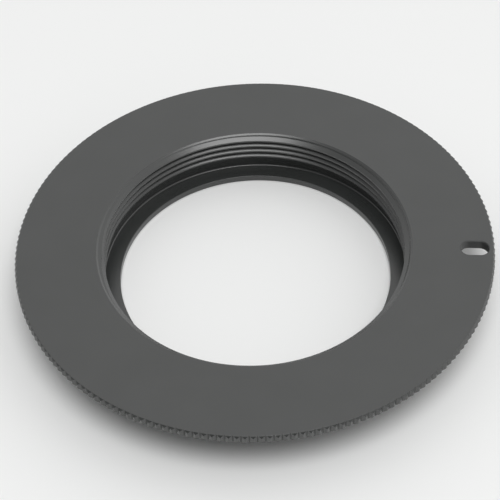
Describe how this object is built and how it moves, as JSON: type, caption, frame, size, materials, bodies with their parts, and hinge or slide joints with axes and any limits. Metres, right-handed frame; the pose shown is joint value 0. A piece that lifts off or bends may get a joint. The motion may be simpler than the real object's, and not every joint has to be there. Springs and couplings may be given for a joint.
{
  "type": "lens mount adapter",
  "caption": "Flat adapter ring with a knurled flange, a threaded bore with an inner lip, a lock pin slot and a lugged bayonet, for fitting a screw-thread lens to a bayonet camera.",
  "frame": {"origin": "on the optical axis, in the rear face that the ring rests on", "axes": "+Z along the optical axis towards the lens, +X through the lock pin slot"},
  "size_m": [0.065, 0.065, 0.007],
  "materials": {
    "black_anodised": "matte black anodised"
  },
  "bodies": {
    "root": {"adapter_ring": "black_anodised"}
  },
  "joints": []
}
